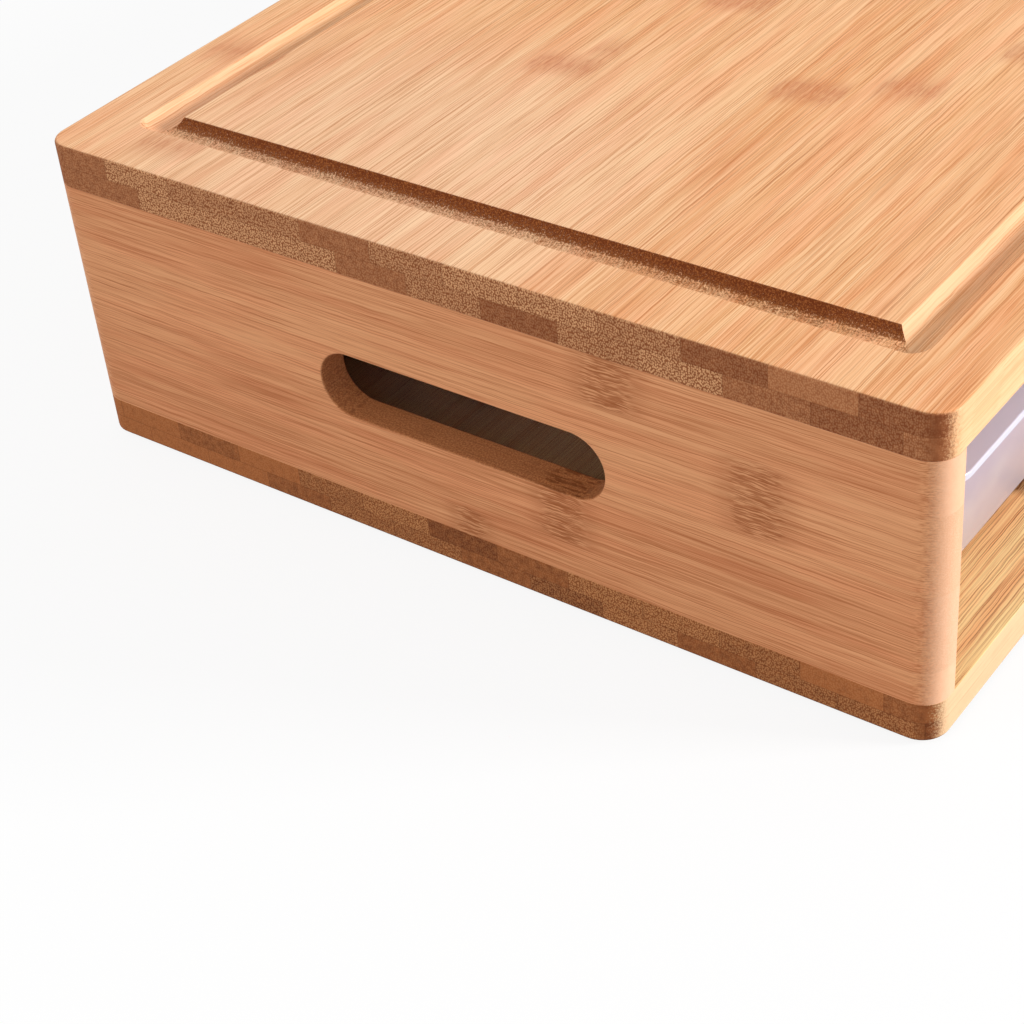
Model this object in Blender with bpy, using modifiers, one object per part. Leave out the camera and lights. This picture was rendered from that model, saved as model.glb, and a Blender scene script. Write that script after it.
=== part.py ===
"""Bamboo cutting board on a box that holds three clear drawers side by side.

Metres, +Z up. The drawers open towards -Y, the hand slots are in the two ends, at -X and +X, and the
origin is on the surface that the box stands on, under the middle of the box.
"""

import math

import bmesh
import bpy
from mathutils import Matrix, Vector

OBJECT_NAME = "drawer_cutting_board"

# Box
BOX_LENGTH = 0.360
BOX_DEPTH = 0.258
BOX_HEIGHT = 0.090
TOP_THICKNESS = 0.012
BASE_THICKNESS = 0.011
SIDE_THICKNESS = 0.0092
BACK_THICKNESS = 0.009
DIVIDER_THICKNESS = 0.008
CORNER_RADIUS = 0.007
EDGE_ROUND = 0.0008

# Juice groove, as a round-nosed cutter leaves it. The insets go to the middle of the groove
GROOVE_CUTTER_RADIUS = 0.005
GROOVE_DEPTH = 0.0032
GROOVE_END_INSET = 0.0224
GROOVE_SIDE_INSET = 0.0202

# Hand slot in each side panel
SLOT_LENGTH = 0.0855
SLOT_HEIGHT = 0.0186

# Drawers, each moulded in one piece
DRAWER_COUNT = 3
DRAWER_FRONT_SETBACK = 0.0034
DRAWER_SIDE_CLEARANCE = 0.001
DRAWER_BACK_CLEARANCE = 0.001
DRAWER_WALL = 0.002
DRAWER_FLOOR = 0.002
DRAWER_DRAFT = math.radians(1.5)
DRAWER_INNER_CORNER_RADIUS = 0.007
DRAWER_INNER_FLOOR_RADIUS = 0.0025
DRAWER_OUTER_FLOOR_RADIUS = 0.001
RIM_WIDTH = 0.0025
RIM_THICKNESS = 0.002
PULL_LIP_DEPTH = 0.0158

# Dowels that join the panels to the base and to the top
DOWEL_DIAMETER = 0.005
DOWEL_LENGTH = 0.020
DOWEL_DEPTH_IN_BOARD = 0.007
DOWEL_CHAMFER = 0.0006
DOWEL_END_SPACE = 0.0005
DOWEL_END_DISTANCE = 0.034
DOWELS_PER_SIDE = 3
DOWELS_PER_BACK = 3
DOWELS_PER_DIVIDER = 2

# Feet, pressed into recesses under the base
FOOT_DIAMETER = 0.014
FOOT_RECESS_DEPTH = 0.002
FOOT_STANDOUT = 0.001
FOOT_EDGE_ROUND = 0.0004
FOOT_INSET = 0.022

# Clearances. The finger gap is the space over the drawers that a hand reaches into
SEAT_GAP = 0.0003
FINGER_GAP_HEIGHT = 0.0137
OVERRUN = 0.004

# Facets
CORNER_STEPS = 6
EDGE_STEPS = 2
GROOVE_STEPS = 8
ROUND_STEPS = 24
DOWEL_STEPS = 12
SMOOTH_ANGLE = math.radians(35)

# Heights
base_bottom = FOOT_STANDOUT
base_top = base_bottom + BASE_THICKNESS
box_top = base_bottom + BOX_HEIGHT
top_bottom = box_top - TOP_THICKNESS
panel_bottom = base_top + SEAT_GAP
panel_top = top_bottom - SEAT_GAP
panel_height = panel_top - panel_bottom
panel_middle = (panel_top + panel_bottom) / 2

# Places across and along the box
half_length = BOX_LENGTH / 2
half_depth = BOX_DEPTH / 2
side_x = half_length - SIDE_THICKNESS / 2
back_y = half_depth - BACK_THICKNESS / 2
back_front_face = half_depth - BACK_THICKNESS
divider_back = back_front_face - SEAT_GAP
divider_depth = divider_back + half_depth
divider_y = divider_back - divider_depth / 2
back_length = BOX_LENGTH - 2 * (SIDE_THICKNESS + SEAT_GAP)
dividers_width = (DRAWER_COUNT - 1) * DIVIDER_THICKNESS
bay_width = (BOX_LENGTH - 2 * SIDE_THICKNESS - dividers_width) / DRAWER_COUNT
bay_pitch = bay_width + DIVIDER_THICKNESS
first_bay_x = -(DRAWER_COUNT - 1) * bay_pitch / 2
bay_xs = [first_bay_x + index * bay_pitch for index in range(DRAWER_COUNT)]
divider_xs = [x + bay_pitch / 2 for x in bay_xs[:-1]]

# Drawer sizes, in its own frame: the origin is under the middle of the pull lip's front edge
drawer_width = bay_width - 2 * DRAWER_SIDE_CLEARANCE
drawer_depth = back_front_face - DRAWER_BACK_CLEARANCE + half_depth - DRAWER_FRONT_SETBACK
drawer_front_y = -half_depth + DRAWER_FRONT_SETBACK
drawer_bottom = base_top + SEAT_GAP
drawer_height = top_bottom - FINGER_GAP_HEIGHT - drawer_bottom

dowel_hole_radius = DOWEL_DIAMETER / 2 + SEAT_GAP
foot_recess_radius = FOOT_DIAMETER / 2 + SEAT_GAP


def clear_scene():
    """Removes every object of the scene that the script was started in."""
    for obj in list(bpy.data.objects):
        bpy.data.objects.remove(obj, do_unlink=True)


def new_collection(name):
    collection = bpy.data.collections.new(name)
    bpy.context.scene.collection.children.link(collection)
    return collection


def new_material(name, colour, roughness, metallic=0.0, transmission=0.0):
    material = bpy.data.materials.new(name)
    material.use_nodes = True
    shader = material.node_tree.nodes["Principled BSDF"]
    shader.inputs["Base Color"].default_value = (*colour, 1.0)
    shader.inputs["Roughness"].default_value = roughness
    shader.inputs["Metallic"].default_value = metallic
    shader.inputs["Transmission Weight"].default_value = transmission
    return material


def mesh_of(name, shape):
    """The bmesh as a mesh, faces outwards, smooth across its facets and sharp at its corners."""
    bmesh.ops.recalc_face_normals(shape, faces=shape.faces)
    mesh = bpy.data.meshes.new(name)
    shape.to_mesh(mesh)
    shape.free()
    mesh.shade_smooth()
    mesh.set_sharp_from_angle(angle=SMOOTH_ANGLE)
    return mesh


def place(name, mesh, location, collection, material):
    """One sub-part of the object."""
    obj = bpy.data.objects.new(name, mesh)
    obj.location = location
    collection.objects.link(obj)
    if material.name not in mesh.materials:
        mesh.materials.append(material)
    return obj


def place_cutter(name, shape, collection):
    """A shape that only cuts: it isn't rendered and shows as a wire."""
    obj = bpy.data.objects.new(name, mesh_of(name, shape))
    obj.hide_render = True
    obj.display_type = "WIRE"
    collection.objects.link(obj)
    return obj


def boolean(obj, other, operation="DIFFERENCE"):
    modifier = obj.modifiers.new(other.name, "BOOLEAN")
    modifier.operation = operation
    modifier.solver = "EXACT"
    modifier.object = other


def finished_mesh(obj):
    """The mesh that the object's modifiers make. The object itself is removed."""
    graph = bpy.context.evaluated_depsgraph_get()
    mesh = bpy.data.meshes.new_from_object(obj.evaluated_get(graph))
    mesh.name = obj.name
    bpy.data.objects.remove(obj, do_unlink=True)
    mesh.shade_smooth()
    mesh.set_sharp_from_angle(angle=SMOOTH_ANGLE)
    return mesh


def spread(first, last, count):
    """Evenly spaced places from the first to the last."""
    return [first + (last - first) * index / (count - 1) for index in range(count)]


def is_upright(edge):
    start, end = (vert.co for vert in edge.verts)
    return abs(start.z - end.z) > max(abs(start.x - end.x), abs(start.y - end.y))


def edges_at_height(shape, height, tolerance):
    """The edges that lie flat at this height."""
    return [
        edge
        for edge in shape.edges
        if all(abs(vert.co.z - height) < tolerance for vert in edge.verts)
    ]


def round_edges(shape, edges, radius, steps):
    bmesh.ops.bevel(
        shape,
        geom=edges,
        offset=radius,
        offset_type="OFFSET",
        segments=steps,
        profile=0.5,
        affect="EDGES",
    )


def block_shape(length, depth, height):
    """A block centred on the origin."""
    shape = bmesh.new()
    size = Matrix.Diagonal((length, depth, height, 1.0))
    bmesh.ops.create_cube(shape, size=1.0, matrix=size)
    return shape


def board_shape(thickness, rounded_height):
    """The full outline of the box, with its corners rounded, and one face's edge rounded too."""
    shape = block_shape(BOX_LENGTH, BOX_DEPTH, thickness)
    round_edges(shape, [edge for edge in shape.edges if is_upright(edge)], CORNER_RADIUS, CORNER_STEPS)
    rim = edges_at_height(shape, rounded_height, thickness / 4)
    round_edges(shape, rim, EDGE_ROUND, EDGE_STEPS)
    return shape


def side_shape(outward):
    """A side panel: its two outer upright edges follow the corners of the boards."""
    shape = block_shape(SIDE_THICKNESS, BOX_DEPTH, panel_height)
    outer = [
        edge
        for edge in shape.edges
        if is_upright(edge) and all(vert.co.x * outward > 0 for vert in edge.verts)
    ]
    round_edges(shape, outer, CORNER_RADIUS, CORNER_STEPS)
    return shape


def turned_mesh(name, profile, steps):
    """A turned piece from its outline, given as (radius, height) from the top down."""
    mesh = bpy.data.meshes.new(name)
    points = [(radius, 0, height) for radius, height in profile]
    mesh.from_pydata(points, [(index, index + 1) for index in range(len(points) - 1)], [])
    obj = bpy.data.objects.new(name, mesh)
    bpy.context.scene.collection.objects.link(obj)
    screw = obj.modifiers.new("turn", "SCREW")
    screw.steps = steps
    screw.render_steps = steps
    screw.use_merge_vertices = True
    screw.merge_threshold = 0.00001
    return finished_mesh(obj)


def add_cylinder(shape, radius, height, middle, steps):
    bmesh.ops.create_cone(
        shape,
        cap_ends=True,
        segments=steps,
        radius1=radius,
        radius2=radius,
        depth=height,
        matrix=Matrix.Translation(middle),
    )


def dowel_places():
    """The name of each panel, with the plan places of the dowels at its edges."""
    side_ys = spread(-half_depth + DOWEL_END_DISTANCE, half_depth - DOWEL_END_DISTANCE, DOWELS_PER_SIDE)
    back_reach = back_length / 2 - DOWEL_END_DISTANCE
    back_xs = spread(-back_reach, back_reach, DOWELS_PER_BACK)
    divider_ys = spread(
        -half_depth + DOWEL_END_DISTANCE, divider_back - DOWEL_END_DISTANCE, DOWELS_PER_DIVIDER
    )
    places = {
        "left_side": [(-side_x, y) for y in side_ys],
        "right_side": [(side_x, y) for y in side_ys],
        "back": [(x, back_y) for x in back_xs],
    }
    for index, x in enumerate(divider_xs):
        places[f"divider_{index + 1}"] = [(x, y) for y in divider_ys]
    return places


def dowel_levels():
    """The height of the middle of the dowels at the base and at the top."""
    from_seat = DOWEL_LENGTH / 2 - DOWEL_DEPTH_IN_BOARD
    return {"base": base_top + from_seat, "top": top_bottom - from_seat}


def dowel_hole_cutter(collection):
    shape = bmesh.new()
    length = DOWEL_LENGTH + 2 * DOWEL_END_SPACE
    for level in dowel_levels().values():
        for places in dowel_places().values():
            for x, y in places:
                add_cylinder(shape, dowel_hole_radius, length, (x, y, level), DOWEL_STEPS)
    return place_cutter("dowel_holes", shape, collection)


def foot_places():
    """The plan places of the four feet, by name."""
    reach_x = half_length - FOOT_INSET
    reach_y = half_depth - FOOT_INSET
    return {
        "front_left": (-reach_x, -reach_y),
        "front_right": (reach_x, -reach_y),
        "back_left": (-reach_x, reach_y),
        "back_right": (reach_x, reach_y),
    }


def foot_recess_cutter(collection):
    shape = bmesh.new()
    depth = FOOT_RECESS_DEPTH + SEAT_GAP
    height = depth + OVERRUN
    middle = base_bottom + depth - height / 2
    for x, y in foot_places().values():
        add_cylinder(shape, foot_recess_radius, height, (x, y, middle), ROUND_STEPS)
    return place_cutter("foot_recesses", shape, collection)


def groove_profile():
    """(outward offset from the groove's middle, height) round the cutter's section, open above the board."""
    cutter_middle = box_top - GROOVE_DEPTH + GROOVE_CUTTER_RADIUS
    reach = math.acos((cutter_middle - box_top) / GROOVE_CUTTER_RADIUS)
    angles = spread(-reach, reach, GROOVE_STEPS + 1)
    section = [
        (GROOVE_CUTTER_RADIUS * math.sin(angle), cutter_middle - GROOVE_CUTTER_RADIUS * math.cos(angle))
        for angle in angles
    ]
    inner, outer = section[0][0], section[-1][0]
    return section + [(outer, box_top + OVERRUN), (inner, box_top + OVERRUN)]


def groove_loop(offset, height):
    """The path of one point of the cutter: square inside the corner, round the corner outside it."""
    reach_x = half_length - GROOVE_END_INSET + min(offset, 0)
    reach_y = half_depth - GROOVE_SIDE_INSET + min(offset, 0)
    radius = max(offset, 0)
    points = []
    for quarter, (sign_x, sign_y) in enumerate(((1, 1), (-1, 1), (-1, -1), (1, -1))):
        for step in range(CORNER_STEPS + 1):
            angle = (quarter + step / CORNER_STEPS) * math.pi / 2
            x = sign_x * reach_x + radius * math.cos(angle)
            y = sign_y * reach_y + radius * math.sin(angle)
            points.append(Vector((x, y, height)))
    return points


def groove_cutter(collection):
    """What the round-nosed cutter sweeps: each point of its section follows its own path round the board."""
    shape = bmesh.new()
    loops = [
        [shape.verts.new(point) for point in groove_loop(offset, height)]
        for offset, height in groove_profile()
    ]
    count = len(loops[0])
    for loop, following in zip(loops, loops[1:] + loops[:1]):
        for index in range(count):
            ahead = (index + 1) % count
            shape.faces.new((loop[index], loop[ahead], following[ahead], following[index]))
    bmesh.ops.remove_doubles(shape, verts=shape.verts, dist=EDGE_ROUND / 1000)
    return place_cutter("juice_groove", shape, collection)


def hand_slot_cutter(collection):
    """A cylinder through both side panels, drawn out sideways into a slot with round ends."""
    shape = bmesh.new()
    radius = SLOT_HEIGHT / 2 / math.cos(math.pi / ROUND_STEPS)
    lying = Matrix.Rotation(math.pi / 2, 4, "Y") @ Matrix.Rotation(math.pi / ROUND_STEPS, 4, "Z")
    bmesh.ops.create_cone(
        shape,
        cap_ends=True,
        segments=ROUND_STEPS,
        radius1=radius,
        radius2=radius,
        depth=BOX_LENGTH + 2 * OVERRUN,
        matrix=Matrix.Translation((0, 0, panel_middle)) @ lying,
    )
    for vert in shape.verts:
        vert.co.y += math.copysign((SLOT_LENGTH - SLOT_HEIGHT) / 2, vert.co.y)
    return place_cutter("hand_slots", shape, collection)


def tub_shape(inward, bottom, top, corner_radius, floor_radius):
    """The drawer's tapered tub as a solid, moved inward from the outside of its walls."""
    shape = block_shape(1.0, 1.0, 1.0)
    for vert in shape.verts:
        height = top if vert.co.z > 0 else bottom
        lean = (drawer_height - height) * math.tan(DRAWER_DRAFT) + inward
        half_width = drawer_width / 2 - RIM_WIDTH - lean
        front = PULL_LIP_DEPTH + lean
        back = drawer_depth - RIM_WIDTH - lean
        vert.co = (math.copysign(half_width, vert.co.x), front if vert.co.y < 0 else back, height)
    round_edges(shape, [edge for edge in shape.edges if is_upright(edge)], corner_radius, CORNER_STEPS)
    rim = edges_at_height(shape, bottom, (top - bottom) / 4)
    round_edges(shape, rim, floor_radius, EDGE_STEPS + 1)
    return shape


def rim_shape():
    """The drawer's flat rim, which widens at the front into the pull lip, still without its hole."""
    shape = block_shape(drawer_width, drawer_depth, RIM_THICKNESS)
    upright = [edge for edge in shape.edges if is_upright(edge)]
    round_edges(shape, upright, DRAWER_INNER_CORNER_RADIUS + RIM_WIDTH, CORNER_STEPS)
    middle = Vector((0, drawer_depth / 2, drawer_height - RIM_THICKNESS / 2))
    bmesh.ops.translate(shape, verts=shape.verts, vec=middle)
    return shape


def drawer_mesh(cutters):
    """The tub and its rim joined, with the space inside the tub taken out."""
    body_shape = tub_shape(
        0,
        0,
        drawer_height - RIM_THICKNESS / 2,
        DRAWER_INNER_CORNER_RADIUS + DRAWER_WALL,
        DRAWER_OUTER_FLOOR_RADIUS,
    )
    inside_shape = tub_shape(
        DRAWER_WALL,
        DRAWER_FLOOR,
        drawer_height + OVERRUN,
        DRAWER_INNER_CORNER_RADIUS,
        DRAWER_INNER_FLOOR_RADIUS,
    )
    rim = place_cutter("drawer_rim", rim_shape(), cutters)
    inside = place_cutter("drawer_inside", inside_shape, cutters)
    body = bpy.data.objects.new("drawer", mesh_of("drawer", body_shape))
    cutters.objects.link(body)
    boolean(body, rim, "UNION")
    boolean(body, inside)
    return finished_mesh(body)


def make_boards(parts, cutters):
    """The cutting board on top and the base, cut for the groove, the dowels and the feet."""
    top_material = new_material("top_bamboo", (0.83, 0.57, 0.31), 0.48)
    top_mesh = mesh_of("top_board", board_shape(TOP_THICKNESS, TOP_THICKNESS / 2))
    top = place("top_board", top_mesh, (0, 0, box_top - TOP_THICKNESS / 2), parts, top_material)
    boolean(top, groove_cutter(cutters))
    holes = dowel_hole_cutter(cutters)
    boolean(top, holes)
    base_material = new_material("base_bamboo", (0.80, 0.54, 0.29), 0.5)
    base_mesh = mesh_of("base_board", board_shape(BASE_THICKNESS, -BASE_THICKNESS / 2))
    base = place("base_board", base_mesh, (0, 0, base_top - BASE_THICKNESS / 2), parts, base_material)
    boolean(base, foot_recess_cutter(cutters))
    boolean(base, holes)
    return holes


def make_panels(parts, cutters, holes):
    """The two side panels with their hand slots, the back panel and the dividers."""
    side_material = new_material("side_bamboo", (0.69, 0.42, 0.22), 0.52)
    slots = hand_slot_cutter(cutters)
    for name, outward in (("left_side_panel", -1), ("right_side_panel", 1)):
        mesh = mesh_of(name, side_shape(outward))
        panel = place(name, mesh, (outward * side_x, 0, panel_middle), parts, side_material)
        boolean(panel, slots)
        boolean(panel, holes)
    back_material = new_material("back_bamboo", (0.70, 0.44, 0.23), 0.52)
    back_mesh = mesh_of("back_panel", block_shape(back_length, BACK_THICKNESS, panel_height))
    back = place("back_panel", back_mesh, (0, back_y, panel_middle), parts, back_material)
    boolean(back, holes)
    divider_material = new_material("divider_bamboo", (0.74, 0.47, 0.25), 0.52)
    for index, x in enumerate(divider_xs):
        name = f"divider_{index + 1}"
        mesh = mesh_of(name, block_shape(DIVIDER_THICKNESS, divider_depth, panel_height))
        divider = place(name, mesh, (x, divider_y, panel_middle), parts, divider_material)
        boolean(divider, holes)


def make_dowels(parts):
    """Dowels with chamfered ends, in every joint between a panel and a board."""
    material = new_material("dowel_wood", (0.72, 0.52, 0.32), 0.6)
    radius = DOWEL_DIAMETER / 2
    half = DOWEL_LENGTH / 2
    profile = [
        (0, half),
        (radius - DOWEL_CHAMFER, half),
        (radius, half - DOWEL_CHAMFER),
        (radius, DOWEL_CHAMFER - half),
        (radius - DOWEL_CHAMFER, -half),
        (0, -half),
    ]
    mesh = turned_mesh("dowel", profile, DOWEL_STEPS)
    for board, level in dowel_levels().items():
        for panel, places in dowel_places().items():
            for index, (x, y) in enumerate(places):
                place(f"dowel_{board}_{panel}_{index + 1}", mesh, (x, y, level), parts, material)


def make_feet(parts):
    """Rubber feet that stand out of their recesses, with a rounded lower edge."""
    material = new_material("foot_rubber", (0.05, 0.05, 0.05), 0.8)
    radius = FOOT_DIAMETER / 2
    height = FOOT_RECESS_DEPTH + FOOT_STANDOUT
    profile = [
        (0, height),
        (radius, height),
        (radius, FOOT_EDGE_ROUND),
        (radius - FOOT_EDGE_ROUND, 0),
        (0, 0),
    ]
    mesh = turned_mesh("foot", profile, ROUND_STEPS)
    for corner, (x, y) in foot_places().items():
        place(f"foot_{corner}", mesh, (x, y, 0), parts, material)


def make_drawers(parts, cutters):
    """Clear drawers that rest on the base. Each origin is on the line that the drawer slides along."""
    material = new_material("drawer_plastic", (0.82, 0.79, 0.86), 0.22, transmission=0.8)
    mesh = drawer_mesh(cutters)
    for index, x in enumerate(bay_xs):
        place(f"drawer_{index + 1}", mesh, (x, drawer_front_y, drawer_bottom), parts, material)


def main():
    clear_scene()
    parts = new_collection(OBJECT_NAME)
    cutters = new_collection("cutters")
    holes = make_boards(parts, cutters)
    make_panels(parts, cutters, holes)
    make_dowels(parts)
    make_feet(parts)
    make_drawers(parts, cutters)


main()
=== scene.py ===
"""Looks of the bamboo cutting board with three clear drawers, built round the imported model."""

import math

import bmesh
import bpy
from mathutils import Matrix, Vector


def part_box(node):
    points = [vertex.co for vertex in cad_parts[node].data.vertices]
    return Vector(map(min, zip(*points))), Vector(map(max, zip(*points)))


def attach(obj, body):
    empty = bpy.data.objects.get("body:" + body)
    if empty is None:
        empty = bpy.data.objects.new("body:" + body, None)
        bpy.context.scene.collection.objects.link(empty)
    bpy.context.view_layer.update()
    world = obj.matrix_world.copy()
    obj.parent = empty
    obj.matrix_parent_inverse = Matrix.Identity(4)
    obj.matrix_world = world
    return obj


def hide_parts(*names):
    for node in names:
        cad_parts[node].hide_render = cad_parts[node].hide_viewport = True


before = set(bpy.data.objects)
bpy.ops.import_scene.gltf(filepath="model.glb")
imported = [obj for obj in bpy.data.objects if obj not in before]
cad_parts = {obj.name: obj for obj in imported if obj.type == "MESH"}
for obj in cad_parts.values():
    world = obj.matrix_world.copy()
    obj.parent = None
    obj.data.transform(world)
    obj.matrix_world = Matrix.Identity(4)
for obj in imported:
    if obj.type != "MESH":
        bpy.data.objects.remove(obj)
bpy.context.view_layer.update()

# Camera, from the photograph's straight edges
CAMERA_PLACE = (-0.51514, -0.28966, 0.35256)
CAMERA_TURN = (52.7578, 4.7035, -54.1536)
CAMERA_LENS = 78.455
SENSOR_WIDTH = 36.0
NEAREST_SEEN = 0.01

# Light
AMBIENT = 0.59
BACKGROUND = 0.965
KEY_DIRECTION = (0.40, -0.85, 0.34)
KEY_DISTANCE = 2.5
KEY_SIZE = 0.65
KEY_POWER = 64.0
FILL_DIRECTION = (-0.80, 0.35, 0.48)
FILL_DISTANCE = 2.0
FILL_SIZE = 1.2
FILL_POWER = 8.0

# The floor's shade for the light that it sends back, and as it is seen, with a glow to be white
FLOOR_SHADES = (0.55, 0.12)
FLOOR_GLOW = 0.875
FLOOR_REACH = 6.0
FLOOR_ROUGHNESS = 0.9
WHITE = (1.0, 1.0, 1.0, 1.0)

# Sizes in metres, the same as the CAD model's
CORNER_RADIUS = 0.007
EDGE_ROUND = 0.0008
SOFT_EDGE = 0.0003
GROOVE_CUTTER_RADIUS = 0.005
GROOVE_DEPTH = 0.0032
GROOVE_END_INSET = 0.0224
GROOVE_SIDE_INSET = 0.0202
GROOVE_LIP = 0.0004
SLOT_LENGTH = 0.0855
SLOT_HEIGHT = 0.0186
SLOT_EDGE_ROUND = 0.0006
DRAWER_WALL = 0.002
DRAWER_FLOOR = 0.002
DRAWER_DRAFT = math.radians(1.5)
DRAWER_INNER_CORNER_RADIUS = 0.007
DRAWER_INNER_FLOOR_RADIUS = 0.0025
DRAWER_OUTER_FLOOR_RADIUS = 0.001
RIM_WIDTH = 0.0025
RIM_THICKNESS = 0.002
RIM_ROUND = 0.0004
PULL_LIP_DEPTH = 0.0158
FOOT_RECESS_GAP = 0.0003
FOOT_EDGE_ROUND = 0.0008

# Finer shapes of the scene's own, in metres, and the dish under a foot as shares of its radius
DRAWER_INNER_FLOOR_CORNER = 0.004
FOOT_DISH_DEPTH = 0.0003
FOOT_DISH_MIDDLE_DEPTH = 0.0004
FOOT_DISH_SHARES = (0.72, 0.66)

# Limits of the meshes, in metres
POINT_RADIUS = 0.0004
SHARP_CORNER_RADIUS = 0.00001
SMALLEST_CORNER_RADIUS = 0.0001
CUTTER_REACH = 0.002
MERGE_DISTANCE = 1e-7
SMALLEST_EDGE = 1e-8
SHARP_ANGLE = math.radians(32)

# How many steps a curve is drawn with
CORNER_STEPS = 12
ROUND_STEPS = 6
FLOOR_ROUND_STEPS = 8
GROOVE_LIP_STEPS = 4
GROOVE_HALF_STEPS = 8
RECESS_STEPS = 48
FOOT_STEPS = 64

FEET = ("foot_front_left", "foot_front_right", "foot_back_left", "foot_back_right")

# Bamboo strips, in millimetres: their width, and where one seam lies in the top, the base and the panels
STRIP_WIDTH = 21.6
TOP_SEAM = 128.9
BASE_SEAM = 99.9
PANEL_SEAM = 64.5

# How the end of a strip looks, as (how light, how flecked)
STRIP_ENDS = {
    "d": (0.12, 0.3),
    "k": (0.2, 0.65),
    "b": (0.5, 0.35),
    "s": (0.55, 0.75),
    "l": (1.0, 0.35),
    "f": (0.9, 1.0),
}
STRIPS_BELOW_SEAM = 12
STRIPS_LISTED = 16


# Shapes


def plan_loop(low, high, radii, height):
    """The points round a rectangle with rounded corners. The radii go round from the corner at high."""
    if isinstance(radii, float):
        radii = (radii,) * 4
    points = []
    corners = (
        (high[0], high[1], -1, -1),
        (low[0], high[1], 1, -1),
        (low[0], low[1], 1, 1),
        (high[0], low[1], -1, 1),
    )
    for quarter, ((x, y, inward_x, inward_y), radius) in enumerate(zip(corners, radii)):
        for step in range(CORNER_STEPS + 1):
            angle = (quarter + step / CORNER_STEPS) * math.pi / 2
            points.append(
                (
                    x + inward_x * radius + radius * math.cos(angle),
                    y + inward_y * radius + radius * math.sin(angle),
                    height,
                )
            )
    return points


def inset_loop(low, high, radii, inset, height):
    """The same rectangle moved in on all sides, with its corners kept concentric."""
    if isinstance(radii, float):
        radii = (radii,) * 4
    return plan_loop(
        (low[0] + inset, low[1] + inset),
        (high[0] - inset, high[1] - inset),
        tuple(max(radius - inset, 0.0) for radius in radii),
        height,
    )


def rounding(radius, steps=ROUND_STEPS):
    """(how far in, how far down from the edge) along a quarter round, from the side to the face."""
    angles = [step / steps * math.pi / 2 for step in range(steps + 1)]
    return [(radius * (1 - math.cos(angle)), radius * (1 - math.sin(angle))) for angle in angles]


def circle(middle, radius, height, steps):
    """The points of an upright round's section at this height."""
    angles = [step / steps * 2 * math.pi for step in range(steps)]
    return [
        (middle.x + radius * math.cos(angle), middle.y + radius * math.sin(angle), height) for angle in angles
    ]


def ease_shading(mesh):
    mesh.shade_smooth()
    mesh.set_sharp_from_angle(angle=SHARP_ANGLE)


def loft(name, loops, closed_round=False, turn=None):
    """A closed mesh through loops of equally many points, capped or joined back to its start."""
    shape = bmesh.new()
    rings = [[shape.verts.new(turn(point) if turn else point) for point in loop] for loop in loops]
    count = len(rings[0])
    pairs = list(zip(rings, rings[1:]))
    if closed_round:
        pairs.append((rings[-1], rings[0]))
    for ring, following in pairs:
        for index in range(count):
            ahead = (index + 1) % count
            shape.faces.new((ring[index], ring[ahead], following[ahead], following[index]))
    if not closed_round:
        shape.faces.new(list(reversed(rings[0])))
        shape.faces.new(rings[-1])
    bmesh.ops.remove_doubles(shape, verts=shape.verts, dist=MERGE_DISTANCE)
    bmesh.ops.dissolve_degenerate(shape, edges=shape.edges, dist=SMALLEST_EDGE)
    bmesh.ops.recalc_face_normals(shape, faces=shape.faces)
    mesh = bpy.data.meshes.new(name)
    shape.to_mesh(mesh)
    shape.free()
    ease_shading(mesh)
    return mesh


def piece(name, mesh, material, body, slot, *nodes):
    """A piece of the object that stands for these CAD nodes."""
    obj = bpy.data.objects.new(name, mesh)
    bpy.context.scene.collection.objects.link(obj)
    mesh.materials.clear()
    mesh.materials.append(material)
    weighted = obj.modifiers.new("even_shading", "WEIGHTED_NORMAL")
    weighted.keep_sharp = True
    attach(obj, body)
    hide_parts(*nodes)
    return obj


def board_edge(low, high, radii, bottom, top, bottom_round, top_round):
    """The loops up the side of a board, from the rim of its underside to the rim of its face."""
    loops = [inset_loop(low, high, radii, bottom_round * 2, bottom)]
    for inset, rise in reversed(rounding(bottom_round)):
        loops.append(inset_loop(low, high, radii, inset, bottom + rise))
    for inset, drop in rounding(top_round):
        loops.append(inset_loop(low, high, radii, inset, top - drop))
    loops.append(inset_loop(low, high, radii, top_round * 2, top))
    return loops


def groove_section():
    """(outward offset from the groove's middle, depth) from the outer lip to the inner one."""
    reach = math.acos((GROOVE_CUTTER_RADIUS - GROOVE_DEPTH) / GROOVE_CUTTER_RADIUS)
    half = GROOVE_CUTTER_RADIUS * math.sin(reach)
    inside = reach - GROOVE_LIP / GROOVE_CUTTER_RADIUS

    def on_arc(angle):
        rise = GROOVE_CUTTER_RADIUS * (1 - math.cos(angle))
        return GROOVE_CUTTER_RADIUS * math.sin(angle), GROOVE_DEPTH - rise

    arc_end, arc_end_depth = on_arc(inside)
    lip = []
    for step in range(GROOVE_LIP_STEPS):
        share = step / GROOVE_LIP_STEPS
        flat = (1 - share) ** 2 * (half + GROOVE_LIP)
        bend = 2 * share * (1 - share) * half
        lip.append((flat + bend + share**2 * arc_end, share**2 * arc_end_depth))
    arc = [on_arc(inside * (1 - step / GROOVE_HALF_STEPS)) for step in range(2 * GROOVE_HALF_STEPS + 1)]
    support = half + 3 * GROOVE_LIP
    inner_lip = [(-offset, depth) for offset, depth in reversed(lip)]
    return [(support, 0.0)] + lip + arc + inner_lip + [(-support, 0.0)]


def top_board_mesh():
    low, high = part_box("top_board")
    loops = board_edge(low, high, CORNER_RADIUS, low.z, high.z, SOFT_EDGE / 2, EDGE_ROUND)
    for offset, depth in groove_section():
        reach_x = high.x - GROOVE_END_INSET + offset
        reach_y = high.y - GROOVE_SIDE_INSET + offset
        radius = max(offset, 0.0)
        loops.append(plan_loop((-reach_x, -reach_y), (reach_x, reach_y), radius, high.z - depth))
    return loft("top_board_look", loops)


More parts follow.
